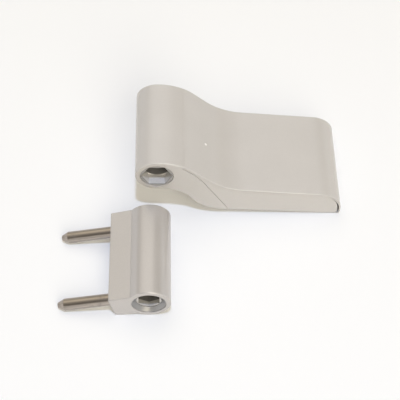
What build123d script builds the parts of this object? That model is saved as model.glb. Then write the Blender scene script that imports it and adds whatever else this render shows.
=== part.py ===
from build123d import *
import os
from math import asin, cos, radians, sin, tan

# A two-part door hinge with its halves taken apart and lying on a table.
# The flag half has a leaf that is screwed to the door and a round eye on a bent leg.
# The frame half has a barrel on a block that is held in the door frame by two steel pins.
# Both barrels point along Y. The origin is the middle of the four screw holes, on the
# face that lies against the door, so Z = 0 is the table too.

# Flag half: overall sizes, with x counted from the axis of the eye
flag_length = 50.0
axis_height = 32.4
leaf_reach = 93.2
barrel_radius = 10.5
bore_radius = 8.2
hole_centre_from_axis = 58.0

# Front contour of the flag, from the crown of the eye down to the nose of the leaf
descent_angle = 44.0
descent_from_axis = 10.8
front_slope = 5.75
front_height_at_axis = 24.9
crown_bend_radius = 25.5
front_bend_radius = 32.0
nose_radius = 12.8
nose_lip_radius = 1.6
nose_wall = 0.8
cap_nose_radius = 2.2
cover_floor_gap = 0.15
lip_thickness = 0.7
lip_reach = 1.9

# Back contour of the flag, from the bottom of the eye to the underside of the leaf
back_angle = 57.0
back_from_axis = 11.7
back_slope = 3.7
back_height_at_axis = 6.2
back_bend_radius = 19.0
back_foot_radius = 19.0

# Leg between the eye and the foot, where the cover ends
cover_start_angle = 30.0
cover_edge = 1.6
leg_upper_angle = 38.0
leg_lower_angle = 60.0
leg_knee_from_axis = 19.6
leg_bend_radius = 42.0

# Foot of the flag, base plate and the screws that clamp one on the other
foot_thickness = 7.0
foot_end_from_axis = 77.0
base_thickness = 4.0
base_width = 54.0
base_length = 41.0
base_corner_radius = 3.0
door_hole_spacing_x = 40.0
door_hole_spacing_y = 30.0
door_hole_radius = 2.75
door_head_radius = 5.2
side_travel = 3.0
clamp_screw_from_axis = 54.0
clamp_screw_spacing = 24.0
clamp_screw_radius = 3.0
clamp_head_radius = 4.9
clamp_head_height = 3.2
clamp_key_width = 4.0
washer_radius = 6.0
washer_thickness = 1.2

# Cover and end caps of the leaf
cover_wall = 1.2
cap_thickness = 2.5
cap_recess = 0.2
cap_gap = 0.15
nose_gap = 0.8
rib_thickness = 1.6
rib_places = (38.0, 69.0)
peg_radius = 1.5
peg_length = 4.0
peg_places = (42.0, 71.0)
peg_height = 7.6

# Parts inside the eye
rim_recess = 0.3
bush_length = 24.0
hex_wall = 0.41
hex_depth = 5.9
relief_step = 0.2
relief_length = 3.7
sleeve_relief = 0.5
sleeve_land = 4.0
sleeve_end_gap = 0.6
plug_face = 1.6
plug_skirt = 1.6
plug_wall = 1.3
lock_screw_radius = 2.5
lock_screw_angle = -60.0
lock_screw_depth = 14.0
lock_screw_length = 3.8
lock_key_width = 2.5
pin_radius = 5.0
pin_chamfer = 0.8
pin_rest_depth = 10.5
pin_tail_gap = 1.1

# Frame half, with x counted from the axis of its barrel
frame_length = 50.0
frame_offset_x = -3.7
rest_gap = 8.3
block_reach = 19.2
block_front_height = 13.2
block_top_slope = 16.5
face_lean = 12.5
block_corner_radius = 0.6
waist_start = 12.5
waist_end = 5.0
waist_height = 1.8
fillet_front = 0.5
fillet_waist = 2.5
fixing_pin_radius = 2.9
fixing_pin_out = 25.9
fixing_pin_in = 8.0
fixing_pin_root_radius = 2.5
fixing_pin_height = 8.2
fixing_pin_taper = 3.3
fixing_pin_tip_radius = 1.3
far_pin_depth = 8.0
near_pin_from_end = 4.0

# Parts inside the barrel of the frame half, with depths counted from its far end
bearing_end_gap = 1.2
flange_set_in = 1.1
flange_thickness = 0.8
thrust_thickness = 0.8
thrust_proud = 0.25
press_length = 14.0
stud_radius = 2.5
stud_length = 5.0
stud_proud = 1.0
stud_dome_radius = 6.0
stud_wall = 0.7
height_travel = 1.5
travel_room = 0.4
spindle_radius = 4.0
screw_head_length = 10.3
screw_key_width = 10.0
screw_key_depth = 5.5
screw_face_chamfer = 0.5
ring_length = 1.9
ring_rim = 0.35
ring_key_gap = 0.18
ring_cone_depth = 1.5
key_pin_radius = 1.5
key_pin_from_front = 5.3
key_groove_depth = 1.9
key_pin_recess = 0.4

# Clearances and edges
running_gap = 0.05
sliding_gap = 0.08
seat_gap = 0.05
axial_play = 0.1
end_edge = 0.45
cover_end_edge = 0.3
rim_edge = 0.3

eye_x = -hole_centre_from_axis
flag_far = flag_length / 2
flag_near = -flag_length / 2
frame_x = eye_x + frame_offset_x
frame_far = flag_near - rest_gap
frame_near = frame_far - frame_length
foot_bottom = base_thickness + seat_gap
foot_top = foot_bottom + foot_thickness
bush_radius = bore_radius - running_gap
hex_width = 2 * (bush_radius - hex_wall) * cos(radians(30))
near_pin_depth = frame_length - near_pin_from_end
screw_depth = frame_length - ring_length - rim_edge
shoulder_depth = screw_depth - screw_head_length
press_depth = shoulder_depth - travel_room - height_travel - press_length
press_hole_depth = press_length - stud_length + stud_proud - stud_wall
flange_seat_depth = axial_play + flange_thickness + thrust_thickness - thrust_proud
bearing_length = press_depth - height_travel - bearing_end_gap
flange_radius = barrel_radius - flange_set_in
key_pin_depth = press_depth + key_pin_from_front
key_groove_floor = bore_radius - key_groove_depth


def section(corners):
    """A closed flat outline; each corner is (x, z, rounding)."""
    points = [(x, z) for x, z, rounding in corners]
    radii = [rounding for x, z, rounding in corners]
    return make_face(FilletPolyline(*points, radius=radii, close=True))


def along_axis(profile, far, near, x=eye_x, z=0.0):
    """Extrude a profile drawn in x and z from its far end to its near end."""
    return Pos(x, far, z) * extrude(Plane.XZ * profile, far - near)


def turned(outline, x, z):
    """Turn an outline of (radius, y) corners about a line along Y through x and z."""
    return Pos(x, 0, z) * revolve(make_face(Polyline(*outline, close=True)), Axis.Y)


def hexagon(width, corner_up=False):
    """A hexagon of the given width across its flats."""
    return RegularPolygon(width / 2, 6, major_radius=False, rotation=30 if corner_up else 0)


def save(shape, node):
    export_step(shape, f"parts/{node}.step")


def front_height(x, inset=0.0):
    """Height of the leaf's sloping front at a distance from the axis."""
    lowered = inset / cos(radians(front_slope))
    return front_height_at_axis - x * tan(radians(front_slope)) - lowered


def back_height(x):
    """Height of the leaf's underside at a distance from the axis."""
    return back_height_at_axis - x * tan(radians(back_slope))


def descent_x(z, inset=0.0):
    """Place of the straight descent from the eye at a height."""
    crown = axis_height + barrel_radius
    shift = inset / sin(radians(descent_angle))
    return descent_from_axis - shift + (crown - z) / tan(radians(descent_angle))


def front_corner(inset=0.0):
    """Corner where the straight descent meets the leaf's front."""
    fall = tan(radians(descent_angle))
    slope = tan(radians(front_slope))
    top = axis_height + barrel_radius
    start = descent_x(top, inset)
    x = (top + fall * start - front_height(0, inset)) / (fall - slope)
    return x, front_height(x, inset)


def under_front(inset=0.0, nose_inset=0.0, nose_corner=nose_lip_radius):
    """Everything below the front contour, moved inwards by the insets."""
    crown = axis_height + barrel_radius - inset
    nose = leaf_reach - nose_inset
    bend_x, bend_z = front_corner(inset)
    return section([
        (0, crown, 0),
        (descent_x(crown, inset), crown, crown_bend_radius - inset),
        (bend_x, bend_z, front_bend_radius + inset),
        (nose, front_height(nose, inset), nose_radius - nose_inset),
        (nose, cover_floor_gap, nose_corner),
        (nose - cover_edge - nose_radius, cover_floor_gap, 0),
        (0, cover_floor_gap, 0),
    ])


def below_back():
    """Everything below the back contour of the eye, the leg and the leaf."""
    bottom = axis_height - barrel_radius
    fall = tan(radians(back_angle))
    slope = tan(radians(back_slope))
    x = (bottom + fall * back_from_axis - back_height_at_axis) / (fall - slope)
    bend = back_bend_radius * tan(radians(back_angle / 2))
    bend += back_foot_radius * tan(radians((back_angle - back_slope) / 2))
    room = (x - back_from_axis) / cos(radians(back_angle)) - seat_gap
    ease = min(1, room / bend)
    return section([
        (0, bottom, 0),
        (back_from_axis, bottom, back_bend_radius * ease),
        (x, back_height(x), back_foot_radius * ease),
        (leaf_reach, back_height(leaf_reach), 0),
        (leaf_reach, -barrel_radius, 0),
        (0, -barrel_radius, 0),
    ])


def left_of_leg(gap=0.0):
    """Everything on the eye's side of the line where the cover and caps end."""
    crown = axis_height + barrel_radius
    bend_x = descent_x(crown) - crown_bend_radius * tan(radians(descent_angle / 2))
    bend_z = crown - crown_bend_radius
    turn = radians(cover_start_angle)
    inner = crown_bend_radius - cover_edge
    edge_x = bend_x + inner * sin(turn) + gap
    edge_z = bend_z + inner * cos(turn)
    outer_x = bend_x + 2 * crown_bend_radius * sin(turn) + gap
    outer_z = bend_z + 2 * crown_bend_radius * cos(turn)
    knee_x = leg_knee_from_axis + gap
    knee_z = edge_z - (knee_x - edge_x) * tan(radians(leg_upper_angle))
    foot_x = knee_x + knee_z / tan(radians(leg_lower_angle))
    return section([
        (-leaf_reach, 2 * leaf_reach, 0),
        (outer_x, 2 * leaf_reach, 0),
        (outer_x, outer_z, 0),
        (edge_x, edge_z, 0),
        (knee_x, knee_z, leg_bend_radius),
        (foot_x, 0, 0),
        (-leaf_reach, 0, 0),
    ])


def flag_outline():
    """The whole end view of the flag: the eye, the leg and the leaf."""
    eye = Pos(0, axis_height) * Circle(barrel_radius)
    return eye + (under_front() - below_back())


def contour_edges(body, outline, x):
    """The edges at both ends of an extruded body that follow an outline drawn about x."""
    rim = outline.face().outer_wire()
    edges = [edge for end in body.faces().filter_by(Axis.Y) for edge in end.outer_wire().edges()]
    middles = [edge @ 0.5 for edge in edges]
    gaps = [rim.distance_to(Vector(middle.X - x, middle.Z, 0)) for middle in middles]
    return [edge for edge, gap in zip(edges, gaps) if gap < seat_gap]


def clamp_places():
    """The two clamp screws, as (x, y)."""
    x = eye_x + clamp_screw_from_axis
    return [(x, -clamp_screw_spacing / 2), (x, clamp_screw_spacing / 2)]


def door_hole_places():
    """The four corners of the door screws' pattern, as (x, y)."""
    half_x = door_hole_spacing_x / 2
    half_y = door_hole_spacing_y / 2
    return [(x, y) for x in (-half_x, half_x) for y in (-half_y, half_y)]


def lock_screw_plane():
    """A plane across the lock screw, on the outside of the bush in the eye."""
    turn = radians(lock_screw_angle)
    out = Vector(cos(turn), 0, sin(turn))
    centre = Vector(eye_x, flag_near + lock_screw_depth, axis_height)
    return Plane(centre + out * (bore_radius + seat_gap), z_dir=out)


def base_plate():
    plate = extrude(RectangleRounded(base_width, base_length, base_corner_radius), base_thickness)
    for x, y in door_hole_places():
        sunk = CounterSinkHole(door_hole_radius, door_head_radius, base_thickness)
        plate -= Pos(x, y, base_thickness) * sunk
    for x, y in clamp_places():
        plate -= Pos(x, y, 0) * extrude(Circle(clamp_screw_radius + seat_gap), base_thickness)
    return plate


def clamp_screws():
    screws = Part()
    seat = foot_top + seat_gap + washer_thickness
    for x, y in clamp_places():
        shank = Pos(x, y, rim_edge) * extrude(Circle(clamp_screw_radius), seat - rim_edge)
        head = Pos(x, y, seat) * extrude(Circle(clamp_head_radius), clamp_head_height)
        head = chamfer(head.edges().sort_by(Axis.Z)[-1], rim_edge)
        key = extrude(hexagon(clamp_key_width), clamp_head_height)
        screws += (shank + head) - Pos(x, y, seat + clamp_head_height / 3) * key
    return screws


def clamp_washers():
    washers = Part()
    ring = Circle(washer_radius) - Circle(clamp_screw_radius + 2 * seat_gap)
    for x, y in clamp_places():
        washers += Pos(x, y, foot_top + seat_gap) * extrude(ring, washer_thickness)
    return washers


def foot():
    """The foot of the leg, cut back at both ends for the end caps."""
    reach = flag_far - cap_recess - cap_thickness - seat_gap
    outline = section([
        (leg_knee_from_axis, (foot_bottom + foot_top) / 2, 0),
        (leg_knee_from_axis + foot_thickness, foot_bottom, 0),
        (foot_end_from_axis, foot_bottom, 0),
        (foot_end_from_axis, foot_top, end_edge),
        (leg_knee_from_axis, foot_top, 0),
    ]) - below_back()
    plate = along_axis(outline, reach, -reach)
    for x, y in clamp_places():
        width = 2 * (clamp_screw_radius + 6 * seat_gap)
        slot = SlotOverall(width + 2 * side_travel + 2 * seat_gap, width)
        plate -= Pos(x, y, 0) * extrude(slot, axis_height)
    for x in peg_places:
        drill = Pos(x, peg_height) * Circle(peg_radius + seat_gap)
        plate -= along_axis(drill, flag_far, reach - peg_length)
        plate -= along_axis(drill, -(reach - peg_length), flag_near)
    return plate


def flag_arm():
    """The extruded arm: the eye, its leg and its foot."""
    profile = flag_outline() & left_of_leg()
    profile -= base_room()
    arm = along_axis(profile, flag_far, flag_near)
    arm = chamfer(contour_edges(arm, flag_outline(), eye_x), end_edge)
    arm += foot()
    bore = along_axis(Pos(0, axis_height) * Circle(bore_radius), flag_far, flag_near)
    plane = lock_screw_plane()
    thread = plane * extrude(Circle(lock_screw_radius + seat_gap), 2 * barrel_radius)
    return arm - bore - thread


def base_room():
    """The flat that is milled under the leg, where the base plate slides."""
    start = hole_centre_from_axis - base_width / 2 - side_travel - end_edge
    return Pos((start + leaf_reach) / 2, foot_bottom / 2) * Rectangle(leaf_reach - start, foot_bottom)


def leaf_cover():
    """The skin over the leaf, with two ribs that stand on the foot."""
    wall = under_front() - under_front(cover_wall, nose_wall, nose_lip_radius - nose_wall)
    lip = Pos(leaf_reach, cover_floor_gap) * Rectangle(2 * lip_reach, 2 * lip_thickness)
    wall += lip & under_front()
    wall -= left_of_leg()
    cover = along_axis(wall, flag_far, flag_near)
    cover = chamfer(contour_edges(cover, under_front(), eye_x), cover_end_edge)
    reach = flag_far - cap_recess - cap_thickness - cap_gap
    bottom = foot_top + seat_gap
    for x in rib_places:
        height = front_height(x, cover_wall / 2) - bottom
        rib = Pos(x, bottom + height / 2) * Rectangle(rib_thickness, height)
        cover += along_axis(rib, reach, -reach)
    return cover


def end_cap(far_side):
    """A plate that closes one end of the cover, with two pegs into the foot."""
    outline = under_front(cover_wall + cap_gap, nose_wall + nose_gap, cap_nose_radius)
    outline = outline - below_back() - left_of_leg(cap_gap)
    outer = flag_far - cap_recess
    plate = along_axis(outline, outer, outer - cap_thickness)
    for x in peg_places:
        peg = Pos(x, peg_height) * Circle(peg_radius)
        plate += along_axis(peg, outer, outer - cap_thickness - peg_length)
    if far_side:
        return plate
    return mirror(plate, Plane.XZ)


def hex_bush():
    """The steel bush in the near end of the eye, its hexagon socket relieved behind."""
    near = flag_near + rim_recess
    bush = turned([
        (pin_radius + running_gap, near),
        (bush_radius - rim_edge, near),
        (bush_radius, near + rim_edge),
        (bush_radius, near + bush_length),
        (pin_radius + running_gap, near + bush_length),
    ], eye_x, axis_height)
    socket = along_axis(hexagon(hex_width), near + hex_depth, near - rim_recess, z=axis_height)
    relief = Circle(hex_width / 2 + relief_step)
    floor = near + hex_depth + relief_length
    return bush - socket - along_axis(relief, floor, near + hex_depth - rim_edge, z=axis_height)


def eye_sleeve():
    """The moulded sleeve that guides the drawn-back pin, relieved between its two lands."""
    start = flag_near + rim_recess + bush_length + axial_play
    end = flag_far - rim_recess - plug_face - plug_skirt - sleeve_end_gap
    inner = bush_radius - sleeve_relief
    return turned([
        (pin_radius + running_gap, start),
        (bush_radius, start),
        (bush_radius, start + sleeve_land),
        (inner, start + sleeve_land),
        (inner, end - sleeve_land),
        (bush_radius, end - sleeve_land),
        (bush_radius, end),
        (pin_radius + running_gap, end),
    ], eye_x, axis_height)


def eye_plug():
    """The moulded plug that closes the far end of the eye."""
    end = flag_far - rim_recess
    inner = end - plug_face
    return turned([
        (0, inner),
        (bush_radius - plug_wall, inner),
        (bush_radius - plug_wall, inner - plug_skirt),
        (bush_radius, inner - plug_skirt),
        (bush_radius, end - rim_edge),
        (bush_radius - rim_edge, end),
        (0, end),
    ], eye_x, axis_height)


def bush_lock_screw():
    """The small set screw that holds the hexagon bush in the eye."""
    plane = lock_screw_plane()
    screw = plane * extrude(Circle(lock_screw_radius), lock_screw_length)
    deep = lock_screw_length / 2
    return screw - plane.offset(deep) * extrude(hexagon(lock_key_width), deep)


def hinge_pin():
    """The steel hinge pin, drawn back into the eye."""
    tip = flag_near + pin_rest_depth
    tail = flag_far - rim_recess - plug_face - pin_tail_gap
    return turned([
        (0, tip),
        (pin_radius - pin_chamfer, tip),
        (pin_radius, tip + pin_chamfer),
        (pin_radius, tail),
        (0, tail),
    ], eye_x, axis_height)


def block_face_x(z):
    """Place of the block's leaning face at a height."""
    return -block_reach + (block_front_height - z) * tan(radians(face_lean))


def knuckle_outline():
    """End view of the frame half: the barrel and the block with its leaning face."""
    top_end = block_front_height + block_reach * tan(radians(block_top_slope))
    block = section([
        (block_face_x(block_front_height), block_front_height, block_corner_radius),
        (block_face_x(0), 0, block_corner_radius),
        (-waist_start, 0, fillet_waist),
        (-waist_end, waist_height, 0),
        (0, barrel_radius, 0),
        (-waist_end, top_end - waist_end * tan(radians(block_top_slope)), 0),
    ])
    outline = block + Pos(0, barrel_radius) * Circle(barrel_radius)
    creases = (
        (-barrel_radius, 1.5 * barrel_radius, fillet_front),
        (-waist_end, waist_height, fillet_waist),
    )
    for x, z, radius in creases:
        corner = outline.vertices().sort_by_distance(Vector(x, z, 0))[0]
        outline = fillet(corner, radius)
    return outline


def fixing_pin_plane(depth):
    """A plane across a fixing pin at the block's face, pointing out of the block."""
    lean = radians(face_lean)
    root = (frame_x + block_face_x(fixing_pin_height), frame_far - depth, fixing_pin_height)
    return Plane(root, z_dir=(-cos(lean), 0, -sin(lean)))


def fixing_pin(depth):
    """A steel pin with a tapered tip, its thinner root set square in the leaning face."""
    plane = fixing_pin_plane(depth)
    straight = fixing_pin_out - fixing_pin_taper
    root = plane.offset(-fixing_pin_in) * extrude(Circle(fixing_pin_root_radius), fixing_pin_in)
    pin = plane * extrude(Circle(fixing_pin_radius), straight)
    tip = Cone(fixing_pin_radius, fixing_pin_tip_radius, fixing_pin_taper,
               align=(Align.CENTER, Align.CENTER, Align.MIN))
    return root + pin + plane.offset(straight) * tip


def frame_knuckle():
    """The extruded frame half: barrel, block, bore and the holes of its pins."""
    knuckle = along_axis(knuckle_outline(), frame_far, frame_near, frame_x)
    knuckle = chamfer(contour_edges(knuckle, knuckle_outline(), frame_x), end_edge)
    knuckle -= along_axis(Circle(bore_radius), frame_far, frame_near, frame_x, barrel_radius)
    sunk = Circle(flange_radius + sliding_gap)
    knuckle -= along_axis(sunk, frame_far, frame_far - flange_seat_depth, frame_x, barrel_radius)
    for depth in (far_pin_depth, near_pin_depth):
        hole = extrude(Circle(fixing_pin_root_radius + seat_gap / 2), fixing_pin_in + seat_gap)
        knuckle -= fixing_pin_plane(depth).offset(-fixing_pin_in - seat_gap) * hole
    drill = extrude(Circle(key_pin_radius + seat_gap), barrel_radius)
    return knuckle - Pos(frame_x, frame_far - key_pin_depth, -key_groove_floor) * drill


def key_pin():
    """The dowel that stops the pressure piece from turning."""
    length = barrel_radius - key_groove_floor - key_pin_recess - seat_gap
    dowel = extrude(Circle(key_pin_radius), length)
    return Pos(frame_x, frame_far - key_pin_depth, key_pin_recess) * dowel


def bearing_bush():
    """The flanged bearing bush, sunk in the far end of the barrel."""
    face = frame_far - flange_seat_depth + axial_play
    outer = bore_radius - sliding_gap
    return turned([
        (pin_radius + running_gap, frame_far - bearing_length),
        (outer, frame_far - bearing_length),
        (outer, face),
        (flange_radius, face),
        (flange_radius, face + flange_thickness),
        (pin_radius + running_gap, face + flange_thickness),
    ], frame_x, barrel_radius)


def thrust_washer():
    """The thin washer between the two barrels."""
    outer = frame_far + thrust_proud
    return turned([
        (pin_radius + 4 * running_gap, outer - thrust_thickness),
        (flange_radius, outer - thrust_thickness),
        (flange_radius, outer),
        (pin_radius + 4 * running_gap, outer),
    ], frame_x, barrel_radius)


def pressure_piece():
    """The threaded piece that carries the stud and is moved by the height screw."""
    front = frame_far - press_depth
    back = front - press_length
    radius = bore_radius - sliding_gap
    piece = turned([
        (0, front),
        (radius - rim_edge, front),
        (radius, front - rim_edge),
        (radius, back),
        (spindle_radius + running_gap, back),
        (spindle_radius + running_gap, back + press_hole_depth),
        (0, back + press_hole_depth),
    ], frame_x, barrel_radius)
    drill = Pos(0, barrel_radius) * Circle(stud_radius + seat_gap / 2)
    piece -= along_axis(drill, front, front - stud_length + stud_proud - seat_gap, frame_x)
    groove = Box(2 * key_pin_radius + 2 * sliding_gap, 2 * press_length, barrel_radius)
    return piece - Pos(frame_x, front, -key_groove_floor + barrel_radius / 2) * groove


def thrust_stud():
    """The hard steel stud with a domed head that the end of the hinge pin stands on."""
    top = frame_far - press_depth + stud_proud
    bottom = top - stud_length
    shoulder = top - stud_dome_radius + (stud_dome_radius**2 - stud_radius**2) ** 0.5
    lean = radians(90) - asin(stud_radius / stud_dome_radius) / 2
    on_dome = (stud_dome_radius * cos(lean), top + stud_dome_radius * (sin(lean) - 1))
    dome = ThreePointArc((stud_radius, shoulder), on_dome, (0, top))
    sides = Polyline((0, top), (0, bottom), (stud_radius, bottom), (stud_radius, shoulder))
    return Pos(frame_x, 0, barrel_radius) * revolve(make_face([dome, sides]), Axis.Y)


def height_screw():
    """The captive screw that sets the height, with its hexagon socket at the near end."""
    face = frame_far - screw_depth
    shoulder = frame_far - shoulder_depth
    tip = shoulder + press_hole_depth
    radius = bore_radius - sliding_gap
    screw = turned([
        (0, face),
        (radius - screw_face_chamfer, face),
        (radius, face + screw_face_chamfer),
        (radius, shoulder),
        (spindle_radius, shoulder),
        (spindle_radius, tip - rim_edge),
        (spindle_radius - rim_edge, tip),
        (0, tip),
    ], frame_x, barrel_radius)
    socket = hexagon(screw_key_width, corner_up=True)
    return screw - along_axis(socket, face + screw_key_depth, frame_near, frame_x, barrel_radius)


def seat_ring():
    """The ring with the conical mouth that keeps the height screw in the barrel."""
    near = frame_near + rim_edge
    back = near + ring_length - axial_play
    throat = screw_key_width / 2 / cos(radians(30)) + ring_key_gap
    return turned([
        (bush_radius - ring_rim, near),
        (bush_radius, near),
        (bush_radius, back),
        (throat, back),
        (throat, near + ring_cone_depth),
    ], frame_x, barrel_radius)


os.makedirs("parts", exist_ok=True)
save(base_plate(), "base_plate")
save(clamp_screws(), "clamp_screws")
save(clamp_washers(), "clamp_washers")
save(flag_arm(), "flag_arm")
save(leaf_cover(), "leaf_cover")
save(end_cap(True), "end_cap_far")
save(end_cap(False), "end_cap_near")
save(hex_bush(), "hex_bush")
save(eye_sleeve(), "eye_sleeve")
save(eye_plug(), "eye_plug")
save(bush_lock_screw(), "bush_lock_screw")
save(hinge_pin(), "hinge_pin")
save(bearing_bush(), "bearing_bush")
save(thrust_washer(), "thrust_washer")
save(frame_knuckle(), "frame_knuckle")
save(fixing_pin(far_pin_depth), "fixing_pin_far")
save(fixing_pin(near_pin_depth), "fixing_pin_near")
save(key_pin(), "key_pin")
save(seat_ring(), "seat_ring")
save(height_screw(), "height_screw")
save(pressure_piece(), "pressure_piece")
save(thrust_stud(), "thrust_stud")
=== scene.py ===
from math import cos, radians, sin

import bpy
import numpy as np
from mathutils import Matrix, Vector


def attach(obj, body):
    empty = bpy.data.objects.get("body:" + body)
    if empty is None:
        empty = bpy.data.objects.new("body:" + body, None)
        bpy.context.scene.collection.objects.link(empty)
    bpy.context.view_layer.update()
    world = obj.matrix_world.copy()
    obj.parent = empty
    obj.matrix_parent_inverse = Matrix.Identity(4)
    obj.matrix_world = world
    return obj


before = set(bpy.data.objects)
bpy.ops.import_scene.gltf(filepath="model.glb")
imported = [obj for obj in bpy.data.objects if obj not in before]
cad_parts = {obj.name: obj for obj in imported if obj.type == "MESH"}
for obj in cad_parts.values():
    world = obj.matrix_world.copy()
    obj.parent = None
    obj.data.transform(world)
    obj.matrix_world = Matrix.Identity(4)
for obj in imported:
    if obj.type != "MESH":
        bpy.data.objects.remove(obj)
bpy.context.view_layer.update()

# The view of the photograph. The camera looks down on the table from in front of the hinge,
# held a little askew, through a long lens. The sizes come from a fit to the photograph.
look_at = Vector((-0.0361, -0.0165, 0.0))
camera_distance = 0.5515
camera_azimuth = radians(-3.09)
camera_elevation = radians(55.29)
camera_tilt = radians(2.42)
sensor_width = 36.0
picture_width = 400
focal_pixels = 1070.9

back = Vector((
    sin(camera_azimuth) * cos(camera_elevation),
    -cos(camera_azimuth) * cos(camera_elevation),
    sin(camera_elevation),
))
level = Vector((cos(camera_azimuth), sin(camera_azimuth), 0))
upright = back.cross(level)
right = level * cos(camera_tilt) + upright * sin(camera_tilt)
up = upright * cos(camera_tilt) - level * sin(camera_tilt)
camera_data = bpy.data.cameras.new("view")
camera_data.sensor_width = sensor_width
camera_data.lens = sensor_width * focal_pixels / picture_width
camera_data.clip_start = 0.01
camera_data.clip_end = 20.0
camera = bpy.data.objects.new("view", camera_data)
axes = Matrix((right, up, back)).transposed().to_4x4()
camera.matrix_world = Matrix.Translation(look_at + back * camera_distance) @ axes
bpy.context.scene.collection.objects.link(camera)
bpy.context.scene.camera = camera
bpy.context.scene.view_settings.view_transform = "Standard"

# The table and the light. The hinge lies on a white sheet in a softly lit tent, which has a
# window in front on the right, a lighter part overhead and a dark strip in front on the left. A
# small lamp high in front casts the short shadow under the eye.
table_half = 1.5
table_mesh = bpy.data.meshes.new("table")
corners = [(x * table_half, y * table_half, 0.0) for x, y in ((-1, -1), (1, -1), (1, 1), (-1, 1))]
table_mesh.from_pydata(corners, [], [(0, 1, 2, 3)])
table = bpy.data.objects.new("table", table_mesh)
bpy.context.scene.collection.objects.link(table)


def add(tree, kind, inputs=None, **settings):
    """A new node; each of its inputs is a plain value or the socket that feeds it."""
    made = tree.nodes.new(kind)
    for name, value in settings.items():
        setattr(made, name, value)
    for name, value in (inputs or {}).items():
        if isinstance(value, bpy.types.NodeSocket):
            tree.links.new(value, made.inputs[name])
        else:
            made.inputs[name].default_value = value
    return made


def ramp(tree, value, low, high, to_low=0.0, to_high=1.0):
    """A smooth step from to_low, where value is low, to to_high, where it is high."""
    made = add(tree, "ShaderNodeMapRange", {
        "Value": value, "From Min": low, "From Max": high, "To Min": to_low, "To Max": to_high,
    }, interpolation_type="SMOOTHSTEP")
    return made.outputs["Result"]


def times(tree, first, second):
    """The product of two values."""
    made = add(tree, "ShaderNodeMath", {0: first, 1: second}, operation="MULTIPLY")
    return made.outputs["Value"]


def band(tree, value, rise, fall):
    """A smooth step up over the first pair of limits, times a smooth step down over the second."""
    return times(tree, ramp(tree, value, *rise), ramp(tree, value, *fall, 1.0, 0.0))


def blend_colours(tree, mask, first, second):
    """The first colour where the mask is 0, the second where it is 1."""
    return add(tree, "ShaderNodeMix", {0: mask, 6: first, 7: second}, data_type="RGBA").outputs[2]


def looked_at(tree):
    """1 for a ray that shows the background, straight, mirrored or through glass, 0 for light."""
    path = add(tree, "ShaderNodeLightPath").outputs
    total = path["Is Camera Ray"]
    for kind in ("Is Glossy Ray", "Is Transmission Ray"):
        joined = add(tree, "ShaderNodeMath", {0: total, 1: path[kind]}, operation="MAXIMUM")
        total = joined.outputs["Value"]
    return total


# The sheet is lifted towards white where it is looked at: little beside the hinge, where its
# shadow lies, and fully far away.
sheet_colour = (0.96, 0.96, 0.955, 1)
lifted_colour = (0.94, 0.94, 0.94, 1)
black = (0, 0, 0, 1)
near_lift = 0.08
lift_starts = 0.08
lift_ends = 0.6
sheet = bpy.data.materials.new("white_sheet")
sheet.use_nodes = True
sheet_shader = sheet.node_tree.nodes["Principled BSDF"]
sheet_shader.inputs["Roughness"].default_value = 0.7
sheet_shader.inputs["Specular IOR Level"].default_value = 0.0
sheet_shader.inputs["Emission Color"].default_value = lifted_colour
table_mesh.materials.append(sheet)
floor = sheet.node_tree
spot = add(floor, "ShaderNodeTexCoord").outputs["Object"]
away = add(floor, "ShaderNodeVectorMath", {0: spot}, operation="LENGTH").outputs["Value"]
distance_lift = ramp(floor, away, lift_starts, lift_ends, near_lift, 1.0)
lift = times(floor, looked_at(floor), distance_lift)
floor.links.new(blend_colours(floor, lift, sheet_colour, black), sheet_shader.inputs["Base Color"])
floor.links.new(lift, sheet_shader.inputs["Emission Strength"])

# Each part of the tent lies between a soft rise and a soft fall, given in X, Y or Z of the
# direction from the hinge. Low down the tent is white where it is looked at.
tent_left = (0.32, 0.27, 0.175, 1)
tent_right = (0.33, 0.28, 0.18, 1)
tent_sides = (-0.6, 0.6)
window_colour = (3.55, 3.33, 2.80, 1)
window_across = ((-0.06, 0.04), (0.42, 0.55))
window_height = ((0.20, 0.30), (0.78, 0.90))
strip_colour = (0.13, 0.12, 0.11, 1)
strip_across = ((-0.58, -0.46), (-0.06, 0.04))
strip_height = ((0.30, 0.44), (0.78, 0.90))
in_front = (-0.35, -0.10)
overhead_colour = (1.17, 1.09, 0.93, 1)
overhead_across = ((-0.72, -0.50), (0.22, 0.45))
overhead_depth = (-0.20, 0.10)
overhead_height = (0.45, 0.62)
backdrop_colour = (0.93, 0.93, 0.93, 1)
backdrop_height = (0.25, 0.40)
world = bpy.data.worlds.new("tent")
world.use_nodes = True
bpy.context.scene.world = world
sky = world.node_tree
direction = add(sky, "ShaderNodeTexCoord").outputs["Generated"]
way = add(sky, "ShaderNodeSeparateXYZ", {"Vector": direction})
across = way.outputs["X"]
depth = way.outputs["Y"]
height = way.outputs["Z"]
frontal = ramp(sky, depth, *in_front, 1.0, 0.0)
window = times(sky, band(sky, across, *window_across), band(sky, height, *window_height))
strip = times(sky, band(sky, across, *strip_across), band(sky, height, *strip_height))
over = times(sky, ramp(sky, depth, *overhead_depth), ramp(sky, height, *overhead_height))
over = times(sky, over, band(sky, across, *overhead_across))
backdrop = times(sky, looked_at(sky), ramp(sky, height, *backdrop_height, 1.0, 0.0))
tent = blend_colours(sky, ramp(sky, across, *tent_sides), tent_left, tent_right)
tent = blend_colours(sky, backdrop, tent, backdrop_colour)
tent = blend_colours(sky, over, tent, overhead_colour)
tent = blend_colours(sky, times(sky, frontal, window), tent, window_colour)
tent = blend_colours(sky, times(sky, frontal, strip), tent, strip_colour)
sky.links.new(tent, sky.nodes["Background"].inputs["Color"])

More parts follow.
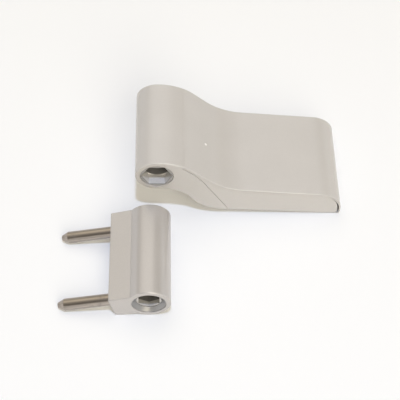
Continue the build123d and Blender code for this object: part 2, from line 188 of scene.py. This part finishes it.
lamp_place = Vector((-0.036, -0.35, 1.15))
lamp_data = bpy.data.lights.new("key_lamp", "AREA")
lamp_data.size = 0.05
lamp_data.energy = 4.7
lamp_data.color = (0.84, 1.0, 1.38)
lamp = bpy.data.objects.new("key_lamp", lamp_data)
turn = (lamp_place - look_at).to_track_quat("Z", "Y").to_matrix().to_4x4()
lamp.matrix_world = Matrix.Translation(lamp_place) @ turn
bpy.context.scene.collection.objects.link(lamp)

# The arm. An aluminium extrusion with the eye and the leg in one, sawn to length, its edges
# broken, and powder coated in a satin grey beige. The coat holds a fine pearl and a faint orange
# peel from curing; its edges are lighter, partly a thinner coat, partly a painted highlight.
flag_colour = (0.575, 0.545, 0.51, 1)
flag_clean = 0.42
flag_touched = 0.50
coat_edge = 0.00035
coat_clear = 0.6
coat_clear_roughness = 0.12
pearl_colour = (0.95, 0.93, 0.90, 1)
peel_height = 0.000012
peel_waves = 900.0
flake_cells = 7000.0
flake_limits = (0.55, 1.0)
cloud_waves = 55.0
cloud_limits = (0.3, 0.7)
patch_waves = 110.0
patch_limits = (0.45, 0.72)
smear_waves = 700.0
smear_limits = (0.35, 0.75)
edge_cosine = 0.8


def new_group(name, inputs, outputs):
    """A node group with the given sockets; returns it with its input and output nodes."""
    made = bpy.data.node_groups.new(name, "ShaderNodeTree")
    for socket, kind in inputs:
        made.interface.new_socket(socket, in_out="INPUT", socket_type=kind)
    for socket, kind in outputs:
        made.interface.new_socket(socket, in_out="OUTPUT", socket_type=kind)
    return made, made.nodes.new("NodeGroupInput"), made.nodes.new("NodeGroupOutput")


def use_group(tree, made, inputs):
    """The group's outputs in a material, with each input given a value or a socket."""
    return add(tree, "ShaderNodeGroup", inputs, node_tree=made).outputs


def noise(tree, vector, scale, detail=2.0):
    """Smooth noise from 0 to 1 at a number of waves a metre."""
    made = add(tree, "ShaderNodeTexNoise", {"Vector": vector, "Scale": scale, "Detail": detail})
    return made.outputs["Fac"]


coat_group, coat_in, coat_out = new_group(
    "cured_coat",
    [("Vector", "NodeSocketVector")],
    [("Peel", "NodeSocketFloat"), ("Fleck", "NodeSocketFloat"), ("Cloud", "NodeSocketFloat")],
)
place = coat_in.outputs["Vector"]
coat_group.links.new(noise(coat_group, place, peel_waves), coat_out.inputs["Peel"])
cells = add(coat_group, "ShaderNodeTexVoronoi", {"Vector": place, "Scale": flake_cells})
flake = add(coat_group, "ShaderNodeSeparateColor", {"Color": cells.outputs["Color"]})
fleck = ramp(coat_group, flake.outputs["Red"], *flake_limits)
coat_group.links.new(fleck, coat_out.inputs["Fleck"])
cloud = ramp(coat_group, noise(coat_group, place, cloud_waves, detail=3.0), *cloud_limits)
coat_group.links.new(cloud, coat_out.inputs["Cloud"])

touch_group, touch_in, touch_out = new_group(
    "handling",
    [("Vector", "NodeSocketVector"), ("Clean", "NodeSocketFloat"), ("Touched", "NodeSocketFloat")],
    [("Roughness", "NodeSocketFloat"), ("Smudge", "NodeSocketFloat")],
)
place = touch_in.outputs["Vector"]
patch = ramp(touch_group, noise(touch_group, place, patch_waves, detail=4.0), *patch_limits)
smear = ramp(touch_group, noise(touch_group, place, smear_waves, detail=3.0), *smear_limits)
smudge = times(touch_group, patch, smear)
rough = add(touch_group, "ShaderNodeMapRange", {
    "Value": smudge, "To Min": touch_in.outputs["Clean"], "To Max": touch_in.outputs["Touched"],
})
touch_group.links.new(rough.outputs["Result"], touch_out.inputs["Roughness"])
touch_group.links.new(smudge, touch_out.inputs["Smudge"])

edge_group, edge_in, edge_out = new_group(
    "edge",
    [("Rounded", "NodeSocketVector"), ("Flat", "NodeSocketVector"), ("Width", "NodeSocketFloat")],
    [("Mask", "NodeSocketFloat")],
)
along = add(edge_group, "ShaderNodeVectorMath", {
    0: edge_in.outputs["Rounded"], 1: edge_in.outputs["Flat"],
}, operation="DOT_PRODUCT")
turned_off = add(edge_group, "ShaderNodeMapRange", {
    "Value": along.outputs["Value"], "From Min": 1.0, "From Max": edge_in.outputs["Width"],
})
edge_group.links.new(turned_off.outputs["Result"], edge_out.inputs["Mask"])


def shade(colour, factor):
    """The same colour, lighter or darker."""
    return tuple(min(1.0, part * factor) for part in colour[:3]) + (1,)


def start_material(name):
    """A new material, its tree, its shader and the piece's own coordinates."""
    made = bpy.data.materials.new(name)
    made.use_nodes = True
    tree = made.node_tree
    here = add(tree, "ShaderNodeTexCoord").outputs["Object"]
    return made, tree, tree.nodes["Principled BSDF"], here


def rounded(tree, radius):
    """The normal of edges rounded to a radius, and a mask of those edges.

    The mask rises from 0, where the rounded normal is the flat one, to 1, where the cosine of the
    angle between them is edge_cosine or less.
    """
    soft = add(tree, "ShaderNodeBevel", {"Radius": radius}, samples=6).outputs["Normal"]
    flat = add(tree, "ShaderNodeNewGeometry").outputs["Normal"]
    edge = use_group(tree, edge_group, {"Rounded": soft, "Flat": flat, "Width": edge_cosine})
    return soft, edge["Mask"]


def laid_over(tree, mask, colour, under, share):
    """A colour over the one under it, where the mask says and as strongly as its share."""
    return blend_colours(tree, times(tree, mask, share), under, colour)


def give_surface(tree, shader, colour, roughness, relief, relief_height, normal):
    """Feeds the shader its colour, its roughness and a relief of a height in metres."""
    bump = add(tree, "ShaderNodeBump", {
        "Strength": 1.0, "Distance": relief_height, "Height": relief, "Normal": normal,
    })
    tree.links.new(colour, shader.inputs["Base Color"])
    tree.links.new(roughness, shader.inputs["Roughness"])
    tree.links.new(bump.outputs["Normal"], shader.inputs["Normal"])


def powder_coat(name, colour, clean, touched, metal=0.0):
    """The satin coat: its colour drifts by 1.5% each way, under pearl, smudges and lighter edges
    that are partly a painted highlight.
    """
    made, tree, shader, here = start_material(name)
    coat = use_group(tree, coat_group, {"Vector": here})
    touch = use_group(tree, touch_group, {"Vector": here, "Clean": clean, "Touched": touched})
    soft, edge = rounded(tree, coat_edge)
    tint = blend_colours(tree, coat["Cloud"], shade(colour, 0.985), shade(colour, 1.015))
    tint = laid_over(tree, coat["Fleck"], pearl_colour, tint, share=0.10)
    tint = laid_over(tree, touch["Smudge"], shade(colour, 0.90), tint, share=0.12)
    # Lighter edges: partly the thinner coat there, partly a painted highlight on the rounded
    # edges.
    tint = laid_over(tree, edge, shade(colour, 1.12), tint, share=0.35)
    give_surface(tree, shader, tint, touch["Roughness"], coat["Peel"], peel_height, soft)
    shader.inputs["Metallic"].default_value = metal
    shader.inputs["Coat Weight"].default_value = coat_clear
    shader.inputs["Coat Roughness"].default_value = coat_clear_roughness
    return made


def finish_node(node, made):
    """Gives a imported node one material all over."""
    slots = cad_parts[node].data.materials
    slots.clear()
    slots.append(made)


finish_node("flag_arm", powder_coat("arm_coat", flag_colour, flag_clean, flag_touched))

# The base plate and its screws. Zinc plated sheet steel, screwed to the door, carries the arm's
# foot under two screws with wide washers, which let it slide for the side adjustment. The zinc
# shows its crystals on the plate and the marks of the lathe on the turned parts.
plate_colour = (0.66, 0.67, 0.69, 1)
plate_clean = 0.38
plate_touched = 0.55
plate_metal = 0.8
plate_edge = 0.0003
# Colour of the plate's edges: partly rubbed bright, partly a painted highlight.
plate_rubbed_edge_and_highlight = (0.9, 0.9, 0.9, 1)
crystal_cells = 450.0
rolling_marks = 4000.0
rolling_height = 0.000008
screw_colour = (0.62, 0.63, 0.66, 1)
screw_marks = 4000.0
plate_middle = (0, 0, 0)
turned_edge = 0.0002
# Colour of the turned parts' edges: partly rubbed bright, partly a painted highlight.
turned_rubbed_edge_and_highlight = (0.95, 0.95, 0.95, 1)
lathe_height = 0.000006
# Lengths over which the painted shade deep in sockets and at the bush's mouth fades in.
deep_shade_fade = 0.0004
mouth_shade_fade = 0.0003
grain_stretch = (0.02, 1.0, 1.0)
streak_share = 0.18
streak_limits = (0.35, 0.65)
ring_limits = (0.3, 0.7)

grain_group, grain_in, grain_out = new_group(
    "lengthwise_marks",
    [("Vector", "NodeSocketVector"), ("Scale", "NodeSocketFloat")],
    [("Height", "NodeSocketFloat"), ("Streak", "NodeSocketFloat")],
)
drawn = add(grain_group, "ShaderNodeVectorMath", {
    0: grain_in.outputs["Vector"], 1: grain_stretch,
}, operation="MULTIPLY")
drawn_out = drawn.outputs["Vector"]
fine = noise(grain_group, drawn_out, grain_in.outputs["Scale"], detail=3.0)
coarse = times(grain_group, grain_in.outputs["Scale"], streak_share)
streak = ramp(grain_group, noise(grain_group, drawn_out, coarse), *streak_limits)
grain_group.links.new(fine, grain_out.inputs["Height"])
grain_group.links.new(streak, grain_out.inputs["Streak"])

lathe_group, lathe_in, lathe_out = new_group(
    "lathe_marks",
    [("Vector", "NodeSocketVector"), ("Scale", "NodeSocketFloat")],
    [("Height", "NodeSocketFloat")],
)
split = add(lathe_group, "ShaderNodeSeparateXYZ", {"Vector": lathe_in.outputs["Vector"]})
flat_way = add(lathe_group, "ShaderNodeCombineXYZ", {
    "X": split.outputs["X"], "Y": split.outputs["Z"],
})
reach = add(lathe_group, "ShaderNodeVectorMath", {
    0: flat_way.outputs["Vector"],
}, operation="LENGTH")
ring_way = add(lathe_group, "ShaderNodeCombineXYZ", {
    "X": reach.outputs["Value"], "Y": split.outputs["Y"],
})
cut = noise(lathe_group, ring_way.outputs["Vector"], lathe_in.outputs["Scale"], detail=3.0)
lathe_group.links.new(cut, lathe_out.inputs["Height"])


def plated_sheet(name, colour, clean, touched):
    """Plated sheet: crystals 2 mm across in slightly different greys, under fine rolling marks."""
    made, tree, shader, here = start_material(name)
    crystals = add(tree, "ShaderNodeTexVoronoi", {"Vector": here, "Scale": crystal_cells})
    grey = add(tree, "ShaderNodeSeparateColor", {"Color": crystals.outputs["Color"]})
    touch = use_group(tree, touch_group, {"Vector": here, "Clean": clean, "Touched": touched})
    grain = use_group(tree, grain_group, {"Vector": here, "Scale": rolling_marks})
    soft, edge = rounded(tree, plate_edge)
    tint = blend_colours(tree, grey.outputs["Red"], shade(colour, 0.88), shade(colour, 1.08))
    tint = laid_over(tree, touch["Smudge"], shade(colour, 0.7), tint, share=0.4)
    # Lighter edges: partly rubbed bright, partly a painted highlight on the rounded edges.
    tint = laid_over(tree, edge, plate_rubbed_edge_and_highlight, tint, share=0.5)
    give_surface(tree, shader, tint, touch["Roughness"], grain["Height"], rolling_height, soft)
    shader.inputs["Metallic"].default_value = plate_metal
    return made


def centred(tree, here, centre, turn=(0, 0, 0)):
    """The coordinates counted from a point and turned, for a pattern about an axis."""
    moved = add(tree, "ShaderNodeVectorMath", {0: here, 1: centre}, operation="SUBTRACT")
    return add(tree, "ShaderNodeMapping", {
        "Vector": moved.outputs["Vector"], "Rotation": turn,
    }).outputs["Vector"]


def zinc(name, colour, centre, metal, clean, touched, marks, deep_shade_at=None, mouth_shade_at=None):
    """Satin zinc on turned steel: rings about the Y axis through centre, marks waves a metre.

    Deeper in than the place given for the deep shade, counted along Y, the colour falls to 0.3 of
    itself: painted shade in the socket. Nearer the end than the place given for the mouth it falls
    to half: painted shade at the mouth.
    """
    made, tree, shader, here = start_material(name)
    about = centred(tree, here, centre)
    rings = use_group(tree, lathe_group, {"Vector": about, "Scale": marks})["Height"]
    touch = use_group(tree, touch_group, {"Vector": here, "Clean": clean, "Touched": touched})
    soft, edge = rounded(tree, turned_edge)
    ridges = ramp(tree, rings, *ring_limits)
    tint = blend_colours(tree, ridges, shade(colour, 0.93), shade(colour, 1.04))
    tint = laid_over(tree, touch["Smudge"], shade(colour, 0.72), tint, share=0.35)
    # Lighter edges: partly rubbed bright, partly a painted highlight on the rounded edges.
    tint = laid_over(tree, edge, turned_rubbed_edge_and_highlight, tint, share=0.2)
    along_y = add(tree, "ShaderNodeSeparateXYZ", {"Vector": here}).outputs["Y"]
    # Painted shade deep in the socket: darker past the first given place.
    if deep_shade_at:
        deep_shade_mask = ramp(tree, along_y, deep_shade_at, deep_shade_at + deep_shade_fade)
        tint = blend_colours(tree, deep_shade_mask, tint, shade(colour, 0.3))
    # Painted shade at the socket's mouth: darker nearer the end than the second given place.
    if mouth_shade_at:
        before = ramp(tree, along_y, mouth_shade_at - mouth_shade_fade, mouth_shade_at, 1.0, 0.0)
        tint = blend_colours(tree, before, tint, shade(colour, 0.5))
    give_surface(tree, shader, tint, touch["Roughness"], rings, lathe_height, soft)
    shader.inputs["Metallic"].default_value = metal
    return made


finish_node("base_plate", plated_sheet("plate_zinc", plate_colour, plate_clean, plate_touched))
screw_zinc = zinc(
    "screw_zinc", screw_colour, plate_middle,
    metal=0.8, clean=0.3, touched=0.45, marks=screw_marks,
)
for node in ("clamp_screws", "clamp_washers"):
    finish_node(node, screw_zinc)

# The fittings of the eye. A turned bush with a broached hexagon closes the near end, held by a
# set screw, and a moulded plug the far end. Between them the ground hinge pin lies drawn back in
# its black plastic sleeve. The bush is zinc plated, darkened deep in its socket and at its mouth
# as painted shade.
eye_axis = (-0.058, 0.0, 0.0324)
zinc_colour = (0.71, 0.69, 0.67, 1)
turning_marks = 5000.0
bush_colour = shade(zinc_colour, 1.12)
# Places along Y where the bush is darkened as painted shade: deep in its socket and at its mouth.
bush_deep_shade_at = -0.0188
bush_mouth_shade_at = -0.0241
finish_node("hex_bush", zinc(
    "bush_zinc", bush_colour, eye_axis,
    metal=0.35, clean=0.5, touched=0.6, marks=turning_marks, deep_shade_at=bush_deep_shade_at, mouth_shade_at=bush_mouth_shade_at,
))
finish_node("bush_lock_screw", screw_zinc)

bright_colour = (0.66, 0.65, 0.64, 1)
ground_edge = 0.00015
grinding_marks = 6000.0
grinding_height = 0.000005


def ground_steel(name, colour, centre, turn, clean, touched):
    """Bare ground steel, with fine marks and dark streaks along the turned X axis."""
    made, tree, shader, here = start_material(name)
    about = centred(tree, here, centre, turn)
    grain = use_group(tree, grain_group, {"Vector": about, "Scale": grinding_marks})
    touch = use_group(tree, touch_group, {"Vector": here, "Clean": clean, "Touched": touched})
    soft, edge = rounded(tree, ground_edge)
    tint = blend_colours(tree, grain["Streak"], shade(colour, 0.82), shade(colour, 1.10))
    tint = laid_over(tree, touch["Smudge"], shade(colour, 0.45), tint, share=0.55)
    # Lighter edges: partly polished by use, partly a painted highlight on the rounded edges.
    tint = laid_over(tree, edge, shade(colour, 1.5), tint, share=0.4)
    give_surface(tree, shader, tint, touch["Roughness"], grain["Height"], grinding_height, soft)
    shader.inputs["Metallic"].default_value = 1.0
    return made


along_the_eye = (0, 0, radians(90))
finish_node("hinge_pin", ground_steel(
    "hinge_pin_steel", bright_colour, eye_axis, along_the_eye, clean=0.18, touched=0.30,
))

black_colour = (0.030, 0.030, 0.033, 1)
plug_colour = shade(flag_colour, 0.96)
moulded_edge = 0.0002
mould_waves = 5000.0
mould_height = 0.00001
drift_waves = 200.0


def moulded(name, colour, clean, touched):
    """Moulded plastic with the fine eroded texture of its mould."""
    made, tree, shader, here = start_material(name)
    touch = use_group(tree, touch_group, {"Vector": here, "Clean": clean, "Touched": touched})
    skin = noise(tree, here, mould_waves)
    soft, edge = rounded(tree, moulded_edge)
    drift = noise(tree, here, drift_waves)
    tint = blend_colours(tree, drift, shade(colour, 0.94), shade(colour, 1.06))
    # Lighter edges: a painted highlight on the rounded edges.
    tint = laid_over(tree, edge, shade(colour, 1.3), tint, share=0.3)
    give_surface(tree, shader, tint, touch["Roughness"], skin, mould_height, soft)
    return made


black_plastic = moulded("bearing_plastic", black_colour, clean=0.42, touched=0.52)
finish_node("eye_sleeve", black_plastic)
finish_node("eye_plug", moulded("plug_plastic", plug_colour, clean=0.45, touched=0.55))

# The cover. A thin extruded skin over the leaf, which stands on the arm's foot with two ribs, in
# the same coat from the same batch. A nib of dried coating sits on its descent, where a drop fell
# on it before it was cured.
nib_place = np.array([-0.033721, -0.003376, 0.029883])
nib_out = np.array([0.695, 0.0, 0.719])
nib_radius = 0.0008
nib_height = 0.0003
nib_rows = 12
nib_steps = 24
nib_colours = ((0.90, 0.88, 0.85, 1), (0.97, 0.96, 0.94, 1))
nib_waves = 4000.0
finish_node("leaf_cover", powder_coat("cover_coat", flag_colour, flag_clean, flag_touched))


def drop(centre, out, radius, height, rows, steps):
    """A drop: its height goes as (1 - r squared) to the power 0.7, less a tenth that is sunk.

    r runs from 0.02, round the small cap in the middle, to 1 at the rim. The radius of the rim
    waves by 12% twice in a turn and by 5% five times.
    """
    side = np.cross(out, (0, 1, 0))
    side = side / np.linalg.norm(side)
    other = np.cross(out, side)
    turn, reach = np.meshgrid(np.linspace(0, 2 * np.pi, steps, endpoint=False),
                              np.linspace(0.02, 1.0, rows))
    wave = 1 + 0.12 * np.sin(2 * turn + 0.6) + 0.05 * np.sin(5 * turn)
    rise = height * (1 - reach**2) ** 0.7 - 0.1 * height
    flat = (radius * wave * reach)[..., None]
    points = centre + flat * (np.cos(turn)[..., None] * side + np.sin(turn)[..., None] * other)
    points = points + rise[..., None] * out
    return points.reshape(-1, 3)


def shell_faces(rows, columns):
    """Quads between neighbours on a grid whose columns close in a ring, and a cap at each end."""
    row, column = np.meshgrid(np.arange(rows - 1), np.arange(columns), indexing="ij")
    after = (column + 1) % columns
    quads = np.stack((row * columns + column, (row + 1) * columns + column,
                      (row + 1) * columns + after, row * columns + after), axis=-1)
    first = np.arange(columns)
    last = (rows - 1) * columns + first
    return quads.reshape(-1, 4).tolist() + [first.tolist(), last[::-1].tolist()]


nib_coat, tree, shader, here = start_material("nib_coat")
pale = blend_colours(tree, noise(tree, here, nib_waves), *nib_colours)
tree.links.new(pale, shader.inputs["Base Color"])
shader.inputs["Roughness"].default_value = 0.25
nib_points = drop(nib_place, nib_out, nib_radius, nib_height, nib_rows, nib_steps)
nib_mesh = bpy.data.meshes.new("coating_nib")
nib_mesh.from_pydata(nib_points.tolist(), [], shell_faces(nib_rows, nib_steps))
nib_mesh.materials.append(nib_coat)
nib_mesh.polygons.foreach_set("use_smooth", np.ones(len(nib_mesh.polygons), dtype=bool))
nib = bpy.data.objects.new("coating_nib", nib_mesh)
bpy.context.scene.collection.objects.link(nib)
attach(nib, "flag")

# The end caps. Stamped plates in the same coat, a little lighter, which close the ends of the
# leaf just inside the cover's edge. Two pegs on each are pressed into the arm's foot.
cap_colour = shade(flag_colour, 1.02)
for node in ("end_cap_far", "end_cap_near"):
    finish_node(node, powder_coat(node + "_coat", cap_colour, clean=0.40, touched=0.48))

# The frame half. A second aluminium extrusion, barrel and block in one, from a batch whose coat
# came out a shade darker and glossier than on the flag, with more metal in it.
knuckle_colour = (0.53, 0.50, 0.475, 1)
finish_node("frame_knuckle", powder_coat(
    "knuckle_coat", knuckle_colour, clean=0.33, touched=0.42, metal=0.25,
))

# The fixing pins and the dowel. Ground steel rods, the two long ones with tapered tips for the
# door frame, pressed into the block, and a short one that keeps the pressure piece from turning.
# They are bare and lightly oiled, and the long ones have darkened in streaks.
pin_colour = (0.43, 0.38, 0.335, 1)
pin_lean = (0, radians(12.5), 0)
pin_middles = {
    "fixing_pin_far": (-0.0938, -0.0413, 0.0055),
    "fixing_pin_near": (-0.0938, -0.0793, 0.0055),
}
for node, middle in pin_middles.items():
    finish_node(node, ground_steel(
        node + "_steel", pin_colour, middle, pin_lean, clean=0.28, touched=0.42,
    ))
barrel_axis = (-0.0617, 0.0, 0.0105)
dowel_turn = (0, radians(90), 0)
finish_node("key_pin", ground_steel(
    "dowel_steel", bright_colour, barrel_axis, dowel_turn, clean=0.25, touched=0.35,
))

# The bearing. A flanged bush of black plastic is pressed into the far end of the barrel, and a
# pale plastic washer on its flange lies between the two barrels when the halves are together.
washer_colour = (0.62, 0.61, 0.58, 1)
finish_node("bearing_bush", black_plastic)
finish_node("thrust_washer", moulded("washer_plastic", washer_colour, clean=0.38, touched=0.48))

# The height adjustment. In the near end of the barrel a plated ring with a conical mouth holds
# the screw with the hexagon socket, which moves the pressure piece. The stud in that piece is
# hardened and polished, because the hinge pin stands on it with the door's weight.
# Place along Y past which the height screw is darkened, as painted shade inside the barrel.
screw_deep_shade_at = -0.0790
ring_colour = shade(zinc_colour, 0.48)
stud_colour = (0.80, 0.80, 0.82, 1)
stud_marks = 9000.0
finish_node("height_screw", zinc(
    "height_zinc", zinc_colour, barrel_axis,
    metal=0.4, clean=0.45, touched=0.55, marks=turning_marks, deep_shade_at=screw_deep_shade_at,
))
for node in ("seat_ring", "pressure_piece"):
    finish_node(node, zinc(
        node + "_zinc", ring_colour, barrel_axis,
        metal=0.9, clean=0.33, touched=0.45, marks=turning_marks,
    ))
finish_node("thrust_stud", zinc(
    "stud_steel", stud_colour, barrel_axis,
    metal=1.0, clean=0.12, touched=0.22, marks=stud_marks,
))
